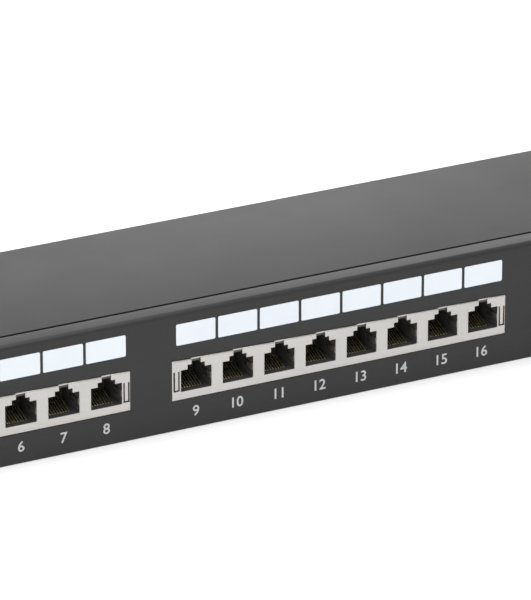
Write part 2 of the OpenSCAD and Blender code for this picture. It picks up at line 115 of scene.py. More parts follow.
class PanelColours(bpy.types.PropertyGroup):
    """Colours of the panel's finishes"""
    powder: colour("Powder coat", "Black powder coat on the sheet metal", (0.0085, 0.0085, 0.0090))
    nickel: colour("Nickel plate", "Plating of the jack shields", (0.53, 0.515, 0.495))
    zinc: colour("Zinc plate", "Plating of screws, nuts and standoffs", (0.62, 0.64, 0.67))
    gold: colour("Gold", "Flash on the jacks' spring contacts", (0.95, 0.80, 0.52))
    tin: colour("Tin", "Plating of the terminal forks", (0.70, 0.69, 0.66))
    brass: colour("Brass", "The ground stud's nut", (0.78, 0.58, 0.27))
    jack_plastic: colour("Jack plastic", "Moulded jack housings", (0.050, 0.048, 0.046))
    terminal_plastic: colour("Terminal plastic", "Moulded terminal blocks", (0.80, 0.79, 0.74))
    solder_mask: colour("Solder mask", "Lacquer on the circuit boards", (0.012, 0.085, 0.035))
    label: colour("Label film", "Write-on fields above the ports", (0.70, 0.745, 0.79))
    front_print: colour("Front print", "Port numbers on the front", (0.48, 0.48, 0.49))
    board_print: colour("Board print", "Numbers on the circuit boards", (0.72, 0.73, 0.72))
    pair_blue: colour("Blue pair", "Wire mark for the blue pair", (0.02, 0.11, 0.50))
    pair_orange: colour("Orange pair", "Wire mark for the orange pair", (0.85, 0.20, 0.02))
    pair_green: colour("Green pair", "Wire mark for the green pair", (0.02, 0.32, 0.06))
    pair_brown: colour("Brown pair", "Wire mark for the brown pair", (0.16, 0.06, 0.02))


class PanelDetails(bpy.types.PropertyGroup):
    """Sizes of details that the CAD frame leaves plain"""
    sheet_edge: length("Sheet edge", "Rounding of the painted sheets' edges", 0.22, 0.02, 0.45)
    shield_edge: length("Shield edge", "Rounding of the stamped shields' edges", 0.16, 0.02, 0.24)
    moulded_edge: length("Moulded edge", "Rounding of the plastic pieces' edges", 0.18, 0.02, 0.4)
    board_edge: length("Board edge", "Rounding of the circuit boards' edges", 0.12, 0.02, 0.4)
    digit_height: length("Digit height", "Height of the printed port numbers", 3.9, 1.0, 4.5)
    digit_drop: length("Digit drop", "From the jacks' sill to a number's middle", 5.0, 3.0, 8.0)
    print_thickness: length("Print thickness", "How far the print stands proud", 0.03, 0.01, 0.1)
    finger_width: length("Finger width", "Width of the shields' side fingers", 2.4, 1.0, 4.0)
    finger_bulge: length("Finger bulge", "How far a side finger curves into its port", 0.55, 0.1, 0.8)
    shield_fold: length("Shield fold", "Radius of the folds round a shield's face", 0.45, 0.1, 0.49)
    leaf_slit: length("Leaf slit", "Width of the slits round the shields' end leaves", 0.58, 0.2, 0.6)


class PanelStudio(bpy.types.PropertyGroup):
    """Camera and lights"""
    azimuth: angle("Azimuth", "Camera's turn to the left of the front", 27.02)
    elevation: angle("Elevation", "Camera's height angle", 23.03)
    distance: FloatProperty(name="Distance", description="Camera to the point it looks at",
                            subtype="DISTANCE", default=1.983)
    lens: FloatProperty(name="Lens", description="Focal length on a 36 mm sensor", min=50, max=600,
                        default=347.4)
    aim: FloatVectorProperty(name="Aim", description="Point the camera looks at", subtype="XYZ",
                             default=(-29.25 * MM, -1.5 * MM, 20.1 * MM))
    sky: FloatProperty(name="Sky", description="Strength of the white surroundings", min=0, max=5,
                       default=0.75)
    key: power("Key light", "Power of the overhead softbox in watts", 24)
    fill: power("Fill light", "Power of the front softbox in watts", 7)
    rear: power("Rear light", "Power of the rear softbox in watts", 10)


# ---------------------------------------------------------------- node trees

FORMS = {"float": "NodeSocketFloat", "int": "NodeSocketInt", "length": "NodeSocketFloat",
         "colour": "NodeSocketColor", "vector": "NodeSocketVector", "object": "NodeSocketObject",
         "material": "NodeSocketMaterial", "geometry": "NodeSocketGeometry"}


class Tree:
    """A node tree being built. Text given as a value stands for the tree's own input of that name."""

    def __init__(self, tree):
        self.tree = tree

    def feed(self, socket, value):
        if isinstance(value, str):
            value = self.given[value]
        if isinstance(value, bpy.types.NodeSocket):
            self.tree.links.new(value, socket)
        else:
            socket.default_value = (*value, 1) if socket.type == "RGBA" else value

    def feed_all(self, sockets, words):
        for word, value in words.items():
            self.feed(sockets[word.replace("_", " ")], value)

    def add(self, kind, output, words):
        """Adds a node. Words with a capital are its sockets, and the others its settings, set first."""
        node = self.tree.nodes.new(kind)
        for word in [w for w in words if w[0].islower()]:
            setattr(node, word, words.pop(word))
        self.feed_all(node.inputs, words)
        return node.outputs[output]

    def shade(self, kind, output=0, **words):
        return self.add("ShaderNode" + kind, output, words)

    def shape(self, kind, output=0, **words):
        return self.add("GeometryNode" + kind, output, words)

    def math(self, operation, *values, clamp=False):
        node = self.tree.nodes.new("ShaderNodeMath")
        node.operation, node.use_clamp = operation, clamp
        for socket, value in zip(node.inputs, values):
            self.feed(socket, value)
        return node.outputs[0]

    def times(self, a, b, clamp=False):
        return self.math("MULTIPLY", a, b, clamp=clamp)

    def remap(self, value, low, high, new_low=0.0, new_high=1.0):
        return self.shade("MapRange", "Result", Value=value, From_Min=low, From_Max=high, To_Min=new_low,
                          To_Max=new_high)

    def mix(self, factor, a, b):
        """Mixes two colours; each may be a colour or a socket."""
        node = self.tree.nodes.new("ShaderNodeMix")
        node.data_type = "RGBA"
        for key, value in ((0, factor), (6, a), (7, b)):
            self.feed(node.inputs[key], value)
        return node.outputs[2]

    def place(self):
        return self.shade("TexCoord", "Object")

    def noise(self, place, scale, detail, roughness=0.5):
        return self.shade("TexNoise", Vector=place, Scale=scale, Detail=detail, Roughness=roughness)

    def join(self, *parts):
        node = self.tree.nodes.new("GeometryNodeJoinGeometry")
        for part in parts:
            self.tree.links.new(part, node.inputs[0])
        return node.outputs[0]

    def row(self, geometry, count, pitch):
        """Copies geometry along X, centred on where it was."""
        start = self.times(self.times(self.math("SUBTRACT", count, 1.0), pitch), -0.5)
        line = self.shape("MeshLine", Count=count, Start_Location=self.shade("CombineXYZ", X=start),
                          Offset=self.shade("CombineXYZ", X=pitch))
        return self.shape("InstanceOnPoints", Points=line, Instance=geometry)

    def plate(self, face, thickness):
        """A closed plate from a flat face: its front moved along the face's normal, and its back."""
        front = self.shape("ExtrudeMesh", Mesh=face, Offset_Scale=thickness, Individual=False)
        return self.shape("MergeByDistance", Distance=1e-6,
                          Geometry=self.join(front, self.shape("FlipFaces", Mesh=face)))

    def sweep(self, line, section):
        return self.shape("CurveToMesh", Curve=line, Profile_Curve=section, Fill_Caps=True)

    def moved(self, geometry, centre):
        return self.shape("Transform", Geometry=geometry, Translation=centre)

    def give(self, **results):
        """Ends a group with its outputs."""
        self.feed_all(self.result, results)
        return self.tree

    def give_shape(self, geometry):
        """Ends a Geometry Nodes tree: copies made real, and the material set."""
        real = self.shape("RealizeInstances", Geometry=geometry)
        return self.give(Geometry=self.shape("SetMaterial", Geometry=real, Material="Material"))


def new_group(name, kind, inputs, outputs):
    """A node group; inputs and outputs map a label to a form, or to a form and its default."""
    group = Tree(bpy.data.node_groups.new(name, kind))
    for direction, sockets in (("INPUT", inputs), ("OUTPUT", outputs)):
        for label, spec in sockets.items():
            form, default = spec if isinstance(spec, tuple) else (spec, None)
            socket = group.tree.interface.new_socket(label, in_out=direction, socket_type=FORMS[form])
            if default is not None:
                socket.default_value = (*default, 1) if form == "colour" else default
            if form == "length":
                socket.subtype = "DISTANCE"
    group.given = group.tree.nodes.new("NodeGroupInput").outputs
    group.result = group.tree.nodes.new("NodeGroupOutput").inputs
    return group


def shape_tree(name, lengths, others):
    """A Geometry Nodes tree; lengths gives its sizes in millimetres, and others its further inputs."""
    sizes = {label: ("length", size * MM) for label, size in lengths.items()}
    return new_group(name, "GeometryNodeTree", {"Geometry": "geometry", **sizes, **others,
                                                "Material": "material"}, {"Geometry": "geometry"})


def effect_group(name, numbers, colours, **outputs):
    """A shader effect; numbers and colours give its inputs' defaults."""
    inputs = {label: ("colour", value) for label, value in colours.items()}
    inputs.update({label: ("vector" if isinstance(value, tuple) else "float", value)
                   for label, value in numbers.items()})
    return new_group(name, "ShaderNodeTree", inputs, outputs)


@cache
def wire_rows_tree():
    """Bent flat wires: the base mesh is one wire's middle line, copied along each port and each group."""
    t = shape_tree("Spring wire rows", {"Wire width": 0.46, "Wire thickness": 0.3, "Bend radius": 0.45,
                                        "Contact pitch": 1.016, "Port pitch": 16},
                   {"Contact count": ("int", 8), "Port count": ("int", 8)})
    line = t.shape("MeshToCurve", Mesh="Geometry")
    bends = t.shape("FilletCurve", Curve=line, Radius="Bend radius", Count=4, Limit_Radius=True, mode="POLY")
    section = t.shape("CurvePrimitiveQuadrilateral", Width="Wire width", Height="Wire thickness")
    port = t.row(t.sweep(bends, section), "Contact count", "Contact pitch")
    return t.give_shape(t.row(port, "Port count", "Port pitch"))


@cache
def label_row_tree():
    """A row of label fields with rounded corners, standing in the XZ plane and facing -Y."""
    t = shape_tree("Label row", {"Field width": 15.2, "Field height": 7.9, "Thickness": 0.2,
                                 "Corner radius": 0.5, "Field pitch": 16},
                   {"Field count": ("int", 8), "Centre": "vector"})
    outline = t.shape("CurvePrimitiveQuadrilateral", Width="Field width", Height="Field height")
    corners = t.shape("FilletCurve", Curve=outline, Radius="Corner radius", Count=5, mode="POLY")
    field = t.plate(t.shape("FillCurve", Curve=corners, mode="NGONS"), "Thickness")
    upright = t.shape("Transform", Geometry=field, Rotation=UPRIGHT)
    return t.give_shape(t.moved(t.row(upright, "Field count", "Field pitch"), "Centre"))


@cache
def scatter_tree():
    """Copies of one finished piece at the base mesh's points, all turned alike."""
    t = shape_tree("Fastener scatter", {}, {"Pattern piece": "object", "Turn": "vector",
                                            "Size": ("float", 1.0)})
    pattern = t.shape("ObjectInfo", "Geometry", Object="Pattern piece")
    return t.give_shape(t.shape("InstanceOnPoints", Points="Geometry", Instance=pattern, Rotation="Turn",
                                Scale="Size"))


@cache
def thread_tree():
    """A helical ridge round the Z axis, for a screw thread."""
    t = shape_tree("Thread", {"Radius": 2, "Pitch": 0.7, "Depth": 0.35},
                   {"Turns": ("float", 10.0), "Start": "vector"})
    middle = t.math("SUBTRACT", "Radius", t.times("Depth", 0.5))
    spiral = t.shape("CurveSpiral", Resolution=28, Rotations="Turns", Start_Radius=middle,
                     End_Radius=middle, Height=t.times("Turns", "Pitch"))
    section = t.shape("CurvePrimitiveCircle", Resolution=4, Radius=t.times("Depth", 0.75))
    return t.give_shape(t.moved(t.sweep(spiral, section), "Start"))


@cache
def fork_rows_tree():
    """Forked contacts: the base mesh is one fork's outline, copied along each block and each row."""
    t = shape_tree("Fork rows", {"Thickness": 0.5, "Wire pitch": 3.05, "Block pitch": 32},
                   {"Wire count": ("int", 8), "Block count": ("int", 4), "Front centre": "vector",
                    "Rear centre": "vector"})
    block = t.row(t.plate("Geometry", "Thickness"), "Wire count", "Wire pitch")
    row = t.row(block, "Block count", "Block pitch")
    return t.give_shape(t.join(t.moved(row, "Front centre"), t.moved(row, "Rear centre")))


# ---------------------------------------------------------------- shader effects

@cache
def grain_group():
    """Two sizes of noise: a height for bumps and a slow variation for colour and gloss."""
    t = effect_group("Surface grain", {"Fine scale": 2500.0, "Coarse scale": 220.0, "Coarse share": 0.4}, {},
                     Height="float", Variation="float")
    place = t.place()
    fine, coarse = t.noise(place, "Fine scale", 3.0), t.noise(place, "Coarse scale", 2.0)
    slow = t.noise(place, t.times("Coarse scale", 0.12), 4.0)
    rest = t.math("SUBTRACT", 1.0, "Coarse share")
    height = t.math("ADD", t.times(fine, rest), t.times(coarse, "Coarse share"))
    return t.give(Height=height, Variation=t.remap(slow, 0.3, 0.7))


@cache
def brushing_group():
    """Fine drawn streaks along one direction of the sheet."""
    t = effect_group("Brushing", {"Stretch": (60.0, 900.0, 2600.0), "Contrast": 0.5}, {},
                     Height="float", Streaks="float")
    noise = t.noise(t.shade("Mapping", Vector=t.place(), Scale="Stretch"), 1.0, 5.0, 0.65)
    centred = t.times(t.math("SUBTRACT", noise, 0.5), "Contrast")
    return t.give(Height=noise, Streaks=t.math("ADD", centred, 0.5, clamp=True))


@cache
def edge_wear_group():
    """Lightens a colour on rounded edges, in patches: a painted edge highlight, and wear from rubbing."""
    t = effect_group("Edge wear", {"Amount": 0.5, "Patch scale": 90.0},
                     {"Colour": (0.1, 0.1, 0.1), "Worn colour": (0.3, 0.3, 0.3)},
                     Colour="colour", Mask="float")
    mark = t.shade("Attribute", "Fac", attribute_name=EDGE)
    patches = t.remap(t.noise(t.place(), "Patch scale", 4.0), 0.38, 0.66, 0.35, 1.0)
    # The mask carries painted edge highlight as well as wear.
    mask = t.times(t.times(mark, patches), "Amount", clamp=True)
    return t.give(Colour=t.mix(mask, "Colour", "Worn colour"), Mask=mask)


@cache
def settled_dust_group():
    """A faint pale film on faces that look up: settled dust, and painted light from above that makes tops
    paler.
    """
    t = effect_group("Settled dust", {"Amount": 0.05},
                     {"Colour": (0.1, 0.1, 0.1), "Dust colour": (0.45, 0.44, 0.42)},
                     Colour="colour", Mask="float")
    up = t.shade("SeparateXYZ", "Z", Vector=t.shade("NewGeometry", "Normal"))
    drift = t.noise(t.place(), 14.0, 5.0, 0.6)
    # Up-facing faces get paler: painted top light as well as dust.
    film = t.times(t.remap(up, 0.5, 1.0), t.remap(drift, 0.35, 0.75))
    mask = t.times(film, "Amount", clamp=True)
    return t.give(Colour=t.mix(mask, "Colour", "Dust colour"), Mask=mask)


@cache
def tracks_group():
    """Copper tracks under solder mask, bent at 45 degrees, with plated holes between them."""
    t = effect_group("Board tracks", {"Track pitch": 1.27 * MM, "Track width": 0.4 * MM},
                     {"Mask colour": (0.01, 0.08, 0.03), "Track colour": (0.03, 0.16, 0.06),
                      "Pad colour": (0.55, 0.5, 0.4)}, Colour="colour", Height="float", Pads="float")
    stretch, bend_start, bend_end, share_left_out = 9 * MM, 3 * MM, 6 * MM, 0.42
    place = t.place()
    x, y = (t.shade("SeparateXYZ", axis, Vector=place) for axis in "XY")
    jog = t.math("MINIMUM", t.math("MAXIMUM", t.math("PINGPONG", y, stretch), bend_start), bend_end)
    across = t.math("ADD", x, jog)
    middle = t.math("PINGPONG", across, t.times("Track pitch", 0.5))
    line = t.math("LESS_THAN", middle, t.times("Track width", 0.5))
    key = t.shade("CombineXYZ", X=t.math("ROUND", t.math("DIVIDE", across, "Track pitch")),
                  Y=t.math("FLOOR", t.math("DIVIDE", y, stretch)))
    chance = t.shade("TexWhiteNoise", "Value", Vector=key, noise_dimensions="2D")
    tracks = t.times(line, t.math("GREATER_THAN", chance, share_left_out))
    dots = t.shade("TexVoronoi", "Distance", Vector=place, Scale=155.0, Randomness=0.35,
                   voronoi_dimensions="2D")
    pads = t.math("LESS_THAN", dots, 0.075)
    masked = t.mix(tracks, "Mask colour", "Track colour")
    return t.give(Colour=t.mix(pads, masked, "Pad colour"), Height=t.math("MAXIMUM", tracks, pads),
                  Pads=pads)


# ---------------------------------------------------------------- materials

class Finish(Tree):
    """A material being built: its Principled shader and the nodes that feed it."""

    def __init__(self, name, **values):
        self.material = bpy.data.materials.new(name)
        self.material.use_nodes = True
        super().__init__(self.material.node_tree)
        self.coat(**values)

    def coat(self, **values):
        """Sets or feeds the shader's own sockets."""
        self.feed_all(self.tree.nodes["Principled BSDF"].inputs, values)
        return self.material

    def effect(self, group, **values):
        """Places a shared effect in the material with its own values."""
        node = self.tree.nodes.new("ShaderNodeGroup")
        node.node_tree = group
        self.feed_all(node.inputs, values)
        return node.outputs

    def grain(self, fine, coarse, share):
        return self.effect(grain_group(), Fine_scale=fine, Coarse_scale=coarse, Coarse_share=share)

    def tone(self, amount, base, low, high):
        """A colour that goes from darker to lighter with an amount."""
        return self.mix(amount, [c * low for c in base], [min(c * high, 1) for c in base])

    def bump(self, height, distance_mm, strength, **under):
        normal = self.shade("Bump", Height=height, Distance=distance_mm * MM, Strength=strength, **under)
        self.coat(Normal=normal)
        return normal


def powder_coat(name, black):
    """Black powder coat: fine orange peel, slightly polished and paler along its edges (painted edge
    highlight and wear), and paler on top (painted light from above and dust).
    """
    f = Finish(name, Roughness=0.5, IOR=1.5)
    grain = f.grain(2300.0, 420.0, 0.45)
    # Paler edges: painted edge highlight as well as wear.
    worn = f.effect(edge_wear_group(), Colour=f.tone(grain["Variation"], black, 0.94, 1.06),
                    Worn_colour=(0.10, 0.10, 0.105), Amount=0.55)
    # Paler tops: painted light from above as well as settled dust.
    dusty_and_top_lit = f.effect(settled_dust_group(), Colour=worn["Colour"], Dust_colour=(0.30, 0.29, 0.28),
                     Amount=0.05)
    gloss = f.remap(grain["Variation"], 0.0, 1.0, 0.505, 0.53)
    f.bump(grain["Height"], 0.06, 0.55)
    return f.coat(Base_Color=dusty_and_top_lit["Colour"],
                  Roughness=f.math("SUBTRACT", gloss, f.times(worn["Mask"], 0.16)))


def plated(name, base, roughness, stretch, contrast, worn=(0.8, 0.78, 0.75), spread=0.10):
    """Plated metal with drawn streaks and brighter edges: painted edge highlight as well as wear."""
    f = Finish(name, Metallic=1.0, Roughness=roughness)
    streaks = f.effect(brushing_group(), Stretch=stretch, Contrast=contrast)
    cloud = f.times(f.grain(3000.0, 300.0, 0.6)["Variation"], 0.3)
    clouded = f.mix(cloud, f.tone(streaks["Streaks"], base, 0.86, 1.1), [c * 0.78 for c in base])
    # Brighter edges: painted edge highlight as well as wear.
    rubbed_and_highlit = f.effect(edge_wear_group(), Colour=clouded, Worn_colour=worn, Amount=0.5, Patch_scale=160.0)
    f.bump(streaks["Height"], 0.02, 0.35)
    return f.coat(Base_Color=rubbed_and_highlit["Colour"], Roughness=f.remap(
        streaks["Streaks"], 0.3, 0.7, roughness - spread / 2, roughness + spread))


def moulded(name, base, roughness, fine, depth_mm, worn):
    """Moulded plastic: a matte spark-eroded grain, with glossier edges whose colour carries painted edge
    highlight as well as wear.
    """
    f = Finish(name, Roughness=roughness, IOR=1.53)
    grain = f.grain(fine, 500.0, 0.25)
    # Edge colour: painted edge highlight as well as wear.
    rubbed_and_highlit = f.effect(edge_wear_group(), Colour=f.tone(grain["Variation"], base, 0.93, 1.05),
                      Worn_colour=worn, Amount=0.45)
    f.bump(grain["Height"], depth_mm, 0.5)
    return f.coat(Base_Color=rubbed_and_highlit["Colour"], Roughness=f.remap(
        grain["Variation"], 0.0, 1.0, roughness - 0.04, roughness + 0.06))


def solder_mask(name, green):
    """Green board lacquer over copper tracks, under a clear glossy coat."""
    f = Finish(name, Roughness=0.34, Coat_Weight=0.35, Coat_Roughness=0.12)
    tracks = f.effect(tracks_group(), Mask_colour=green,
                      Track_colour=(green[0] * 1.9, green[1] * 1.7, green[2] * 1.6))
    grain = f.grain(1800.0, 160.0, 0.5)
    sheen = f.mix(f.times(grain["Variation"], 0.18), tracks["Colour"], (0.04, 0.13, 0.06))
    f.bump(tracks["Height"], 0.04, 0.8, Normal=f.bump(grain["Height"], 0.01, 0.4))
    return f.coat(Base_Color=sheen, Metallic=tracks["Pads"])


def label_film(name, white):
    """Matte white write-on film with a faint paper tooth."""
    f = Finish(name, Roughness=0.55, Coat_Weight=0.15, Coat_Roughness=0.35)
    grain = f.grain(3200.0, 260.0, 0.5)
    f.bump(grain["Height"], 0.012, 0.6)
    return f.coat(Base_Color=f.tone(grain["Variation"], white, 0.965, 1.02))


def ink(name, base, mottle=0.12):
    """Screen-printed ink: matte, a little thinner in places."""
    f = Finish(name, Roughness=0.6)
    grain = f.grain(3600.0, 900.0, 0.5)
    thin = f.remap(grain["Height"], 0.35, 0.65, 0.0, mottle)
    f.bump(grain["Height"], 0.008, 0.5)
    return f.coat(Base_Color=f.mix(thin, base, [c * 0.55 for c in base]))


# Each material's maker, the frame's slot it belongs to, its colour setting and the maker's other values
# A colour among a row's other values is its edge colour: painted edge highlight and wear.
FINISHES = {
    "powder_coat_black": (powder_coat, "black_powder_coat", "powder"),
    "nickel_plate_satin": (plated, "nickel_shield", "nickel", 0.34, (90, 900, 2400), 0.55),
    "clamp_plate_satin": (plated, "clamp_sheet", "zinc", 0.38, (70, 1500, 1500), 0.5),
    "zinc_plate_bright": (plated, "zinc_steel", "zinc", 0.28, (900, 900, 400), 0.4),
    "brass_turned": (plated, "yellow_brass", "brass", 0.26, (500, 500, 2600), 0.5, (0.92, 0.74, 0.42)),
    "gold_flash": (plated, "gold_contact", "gold", 0.36, (2600, 400, 400), 0.35, (1.0, 0.78, 0.42), 0.06),
    "tin_plate_dull": (plated, "tinned_bronze", "tin", 0.42, (1500, 1500, 300), 0.5),
    "jack_plastic_black": (moulded, "black_plastic", "jack_plastic", 0.48, 2600.0, 0.03,
                           (0.035, 0.035, 0.035)),
    "terminal_plastic_white": (moulded, "terminal_plastic", "terminal_plastic", 0.42, 3000.0, 0.015,
                               (0.88, 0.87, 0.84)),
    "solder_mask_green": (solder_mask, "circuit_board", "solder_mask"),
    "label_film_white": (label_film, "label_film", "label"),
    "front_print_grey": (ink, "label_film", "front_print"),
    "board_print_white": (ink, "label_film", "board_print"),
    **{f"wire_mark_{pair}": (ink, "label_film", f"pair_{pair}", 0.2)
       for pair in ("blue", "orange", "green", "brown")},
}


@cache
def finish(name):
    """The material of that name, made once."""
    maker, _, hue, *values = FINISHES[name]
    return maker(name, getattr(bpy.context.scene.panel_colours, hue), *values)


# ---------------------------------------------------------------- meshes

def new_object(name, mesh=None):
    piece = bpy.data.objects.new(name, mesh or bpy.data.meshes.new(name))
    bpy.context.scene.collection.objects.link(piece)
    return piece


def take_mesh(piece):
    """Keeps a helper's mesh and removes the helper."""
    mesh = piece.data
    bpy.data.objects.remove(piece)
    return mesh


def bake_modifiers(piece):
    """Turns a piece with live modifiers into a plain mesh."""
    graph = bpy.context.evaluated_depsgraph_get()
    mesh = bpy.data.meshes.new_from_object(piece.evaluated_get(graph), preserve_all_data_layers=True,
                                           depsgraph=graph)
    piece.modifiers.clear()
    piece.data = mesh
    mesh.name = piece.name
    return piece


def run_tree(tree, name, base=None, **values):
    """Runs a Geometry Nodes tree on a base mesh and keeps the result as a plain mesh."""
    piece = new_object(name, base)
    modifier = piece.modifiers.new(tree.name, "NODES")
    modifier.node_group = tree
    sockets = {i.name: i.identifier for i in tree.interface.items_tree
               if i.item_type == "SOCKET" and i.in_out == "INPUT"}
    for label, value in values.items():
        modifier[sockets[label.replace("_", " ").capitalize()]] = value
    piece.update_tag()
    bpy.context.view_layer.update()
    return bake_modifiers(piece)


def filled(name, bm):
    mesh = bpy.data.meshes.new(name)
    bm.to_mesh(mesh)
    bm.free()
    return mesh


def mesh_from(name, build):
    """A mesh that the function build(bm) fills in."""
    bm = bmesh.new()
    build(bm)
    bmesh.ops.remove_doubles(bm, verts=bm.verts, dist=1e-7)
    bmesh.ops.recalc_face_normals(bm, faces=bm.faces)
    return filled(name, bm)


def cad_triangles(*nodes):
    """CAD nodes' loose triangles, merged."""
    bm = bmesh.new()
    for node in nodes:
        bm.from_mesh(frame["nodes"][node].data)
    bmesh.ops.remove_doubles(bm, verts=bm.verts, dist=2e-6)
    return bm


def clean_cad_mesh(*nodes):
    """One mesh of CAD nodes, with whole flat faces."""
    bm = cad_triangles(*nodes)
    bmesh.ops.dissolve_limit(bm, angle_limit=math.radians(0.6), verts=bm.verts, edges=bm.edges)
    return filled(nodes[0], bm)


def corners_of(points):
    """The lowest and highest corners of a box round points."""
    return (Vector(min(p[i] for p in points) for i in range(3)),
            Vector(max(p[i] for p in points) for i in range(3)))


@cache
def solids_in(node):
    """The box of each separate solid in a CAD node, from left to right."""
    bm = cad_triangles(node)
    left, found = set(bm.verts), []
    while left:
        front, corners = [left.pop()], []
        while front:
            vert = front.pop()
            corners.append(vert.co.copy())
            near = {e.other_vert(vert) for e in vert.link_edges} & left
            left -= near
            front.extend(near)
        found.append(corners_of(corners))
    bm.free()
    return sorted(found, key=lambda box: (round(box[0].x, 5), round(box[0].y, 5)))


def spot(box, x=0.5, y=0.5, z=0.5):
    """A point in a box, at a share of it along each axis."""
    return Vector(low + (high - low) * share for low, high, share in zip(*box, (x, y, z)))


def solid_spots(node, axis, below=None):
    """The size of a node's solids, and for each its middle, at its low end along an axis or below its top."""
    boxes = solids_in(node)
    points = [spot(box) for box in boxes]
    for point, (low, high) in zip(points, boxes):
        point[axis] = low[axis] if below is None else high[axis] - below
    return boxes[0][1] - boxes[0][0], points


def wire_pitch():
    """Distance between neighbouring forks in the terminal blocks."""
    boxes = solids_in("idc_contacts_left")
    row = [box for box in boxes if abs(box[0].y - boxes[0][0].y) < 0.5 * MM]
    middles = sorted(spot(box).x for box in row)
    return middles[1] - middles[0]


def block(number):
    return f"idc_block_{number:02d}"


def smooth_sides(mesh, angle=35):
    mesh.shade_smooth()
    mesh.set_sharp_from_angle(angle=math.radians(angle))
    return mesh


def soften(piece, width, segments=2):
    """Rounds a piece's sharp edges and marks the rounded faces in the attribute that the painted edge
    highlight and wear read.
    """
    for _ in range(2):
        piece.data.materials.append(None)
    bevel = piece.modifiers.new("Edges", "BEVEL")
    bevel.width = width
    bevel.segments = segments
    bevel.limit_method = "ANGLE"
    bevel.angle_limit = math.radians(28)
    bevel.harden_normals = True
    bevel.material = 1
    piece.data.shade_smooth()
    mesh = bake_modifiers(piece).data
    marks = mesh.attributes.new(EDGE, "FLOAT", "FACE")
    index = [0] * len(mesh.polygons)
    mesh.polygons.foreach_get("material_index", index)
    marks.data.foreach_set("value", [float(i) for i in index])
    mesh.polygons.foreach_set("material_index", [0] * len(index))
    mesh.materials.clear()
    return piece


def cut_away(piece, cutter_mesh):
    """Cuts a mesh's volume out of a piece."""
    cutter = new_object("cutter", cutter_mesh)
    cut = piece.modifiers.new("Cut", "BOOLEAN")
    cut.operation = "DIFFERENCE"
    cut.solver = "EXACT"
    cut.object = cutter
    bake_modifiers(piece)
    bpy.data.meshes.remove(take_mesh(cutter))


def fold_front(mesh, low, high, radius):
    """Rounds the outer edges of a box's front face, as where a sheet is folded back."""
    bm = bmesh.new()
    bm.from_mesh(mesh)

    def outer(edge):
        ends = [v.co for v in edge.verts]
        limits = ((0, low.x), (0, high.x), (2, low.z), (2, high.z))
        return (all(abs(c.y - low.y) < 1e-5 for c in ends)
                and any(all(abs(c[axis] - limit) < 1e-5 for c in ends) for axis, limit in limits))
    bmesh.ops.bevel(bm, geom=[e for e in bm.edges if outer(e)], offset=radius, segments=4, profile=0.5,
                    affect="EDGES", clamp_overlap=True)
    bm.to_mesh(mesh)
    bm.free()


def box_into(bm, low, high):
    made = bmesh.ops.create_cube(bm, size=1.0)["verts"]
    for vert in made:
        vert.co = spot((Vector(low), Vector(high)), *(0.5 + c for c in vert.co))


def skin(bm, loops, caps=True):
    """Faces between closed loops of points, one after another, with a cap at each end."""
    for first, second in zip(loops, loops[1:]):
        for i in range(len(first)):
            j = (i + 1) % len(first)
            bm.faces.new((first[i], first[j], second[j], second[i]))
    if caps:
        bm.faces.new(loops[0])
        bm.faces.new(loops[-1])


def circle(steps):
    return [Vector((math.cos(2 * math.pi * i / steps), math.sin(2 * math.pi * i / steps)))
            for i in range(steps)]


def lathe_mesh(name, profile, steps=36, centre=(0, 0, 0), angle=30):
    """Turns a profile of (radius, height) points round the Z axis; its ends lie on the axis or meet."""
    centre = Vector(centre)

    def build(bm):
        rings = [[bm.verts.new(centre + Vector((*(turn * radius), height)))
                  for turn in (circle(steps) if radius > 1e-9 else [Vector((0, 0))])]
                 for radius, height in profile]
        for lower, upper in zip(rings, rings[1:]):
            for i in range(steps):
                j = (i + 1) % steps
                face = list(dict.fromkeys((lower[i % len(lower)], lower[j % len(lower)],
                                           upper[j % len(upper)], upper[i % len(upper)])))
                if len(face) > 2:
                    bm.faces.new(face)
    return smooth_sides(mesh_from(name, build), angle)


def pan_head_mesh(radius, height, shank_radius, shank_length):
    """A pan-head screw along +Z, its head on the origin, with a tapered cross recess."""
    rim = height * 0.42
    dome = [(radius - rim + rim * math.cos(turn), height - rim + rim * math.sin(turn))
            for turn in (math.pi / 2 * i / 5 for i in range(6))]
    profile = [(0, -shank_length), (shank_radius * 0.8, -shank_length),
               (shank_radius, -shank_length + 0.3 * MM), (shank_radius, 0), (radius * 0.97, 0),
               (radius, 0.1 * MM), *dome, (0, height)]
    head = new_object("head", lathe_mesh("head", profile, 40))
    top, floor = (0.62, 0.17, 1.2), (0.30, 0.10, 0.22)

    for turn in (0, 90):
        def bar(bm, turn=turn):
            made = bmesh.ops.create_cube(bm, size=1.0)["verts"]
            for vert in made:
                along, across, level = top if vert.co.z > 0 else floor
                vert.co = Vector((math.copysign(along * radius, vert.co.x),
                                  math.copysign(across * radius, vert.co.y), level * height))
            bmesh.ops.rotate(bm, verts=made, cent=(0, 0, 0),
                             matrix=Matrix.Rotation(math.radians(turn), 3, "Z"))
        cut_away(head, mesh_from("cutter", bar))
    return smooth_sides(take_mesh(head), 32)


def hex_mesh(radius, height, bore, chamfer, depth=None):
    """A hexagonal nut along +Z on the origin, chamfered at both ends; depth makes the bore blind."""
    inner = radius * math.cos(math.pi / 6)

    def reach(turn, outer):
        sector = math.atan2(turn.y, turn.x) % (math.pi / 3) - math.pi / 6
        return min(inner / math.cos(sector), outer)

    def build(bm):
        def ring(level, outer=None):
            return [bm.verts.new((*(turn * (reach(turn, outer) if outer else bore)), level))
                    for turn in circle(36)]
        loops = [ring(level, outer) for level, outer in
                 ((0, inner), (chamfer, radius), (height - chamfer, radius), (height, inner))]
        loops += [ring(height), ring(height - depth if depth else 0)]
        skin(bm, loops if depth else loops + loops[:1], caps=bool(depth))
    return smooth_sides(mesh_from("hex", build), 25)


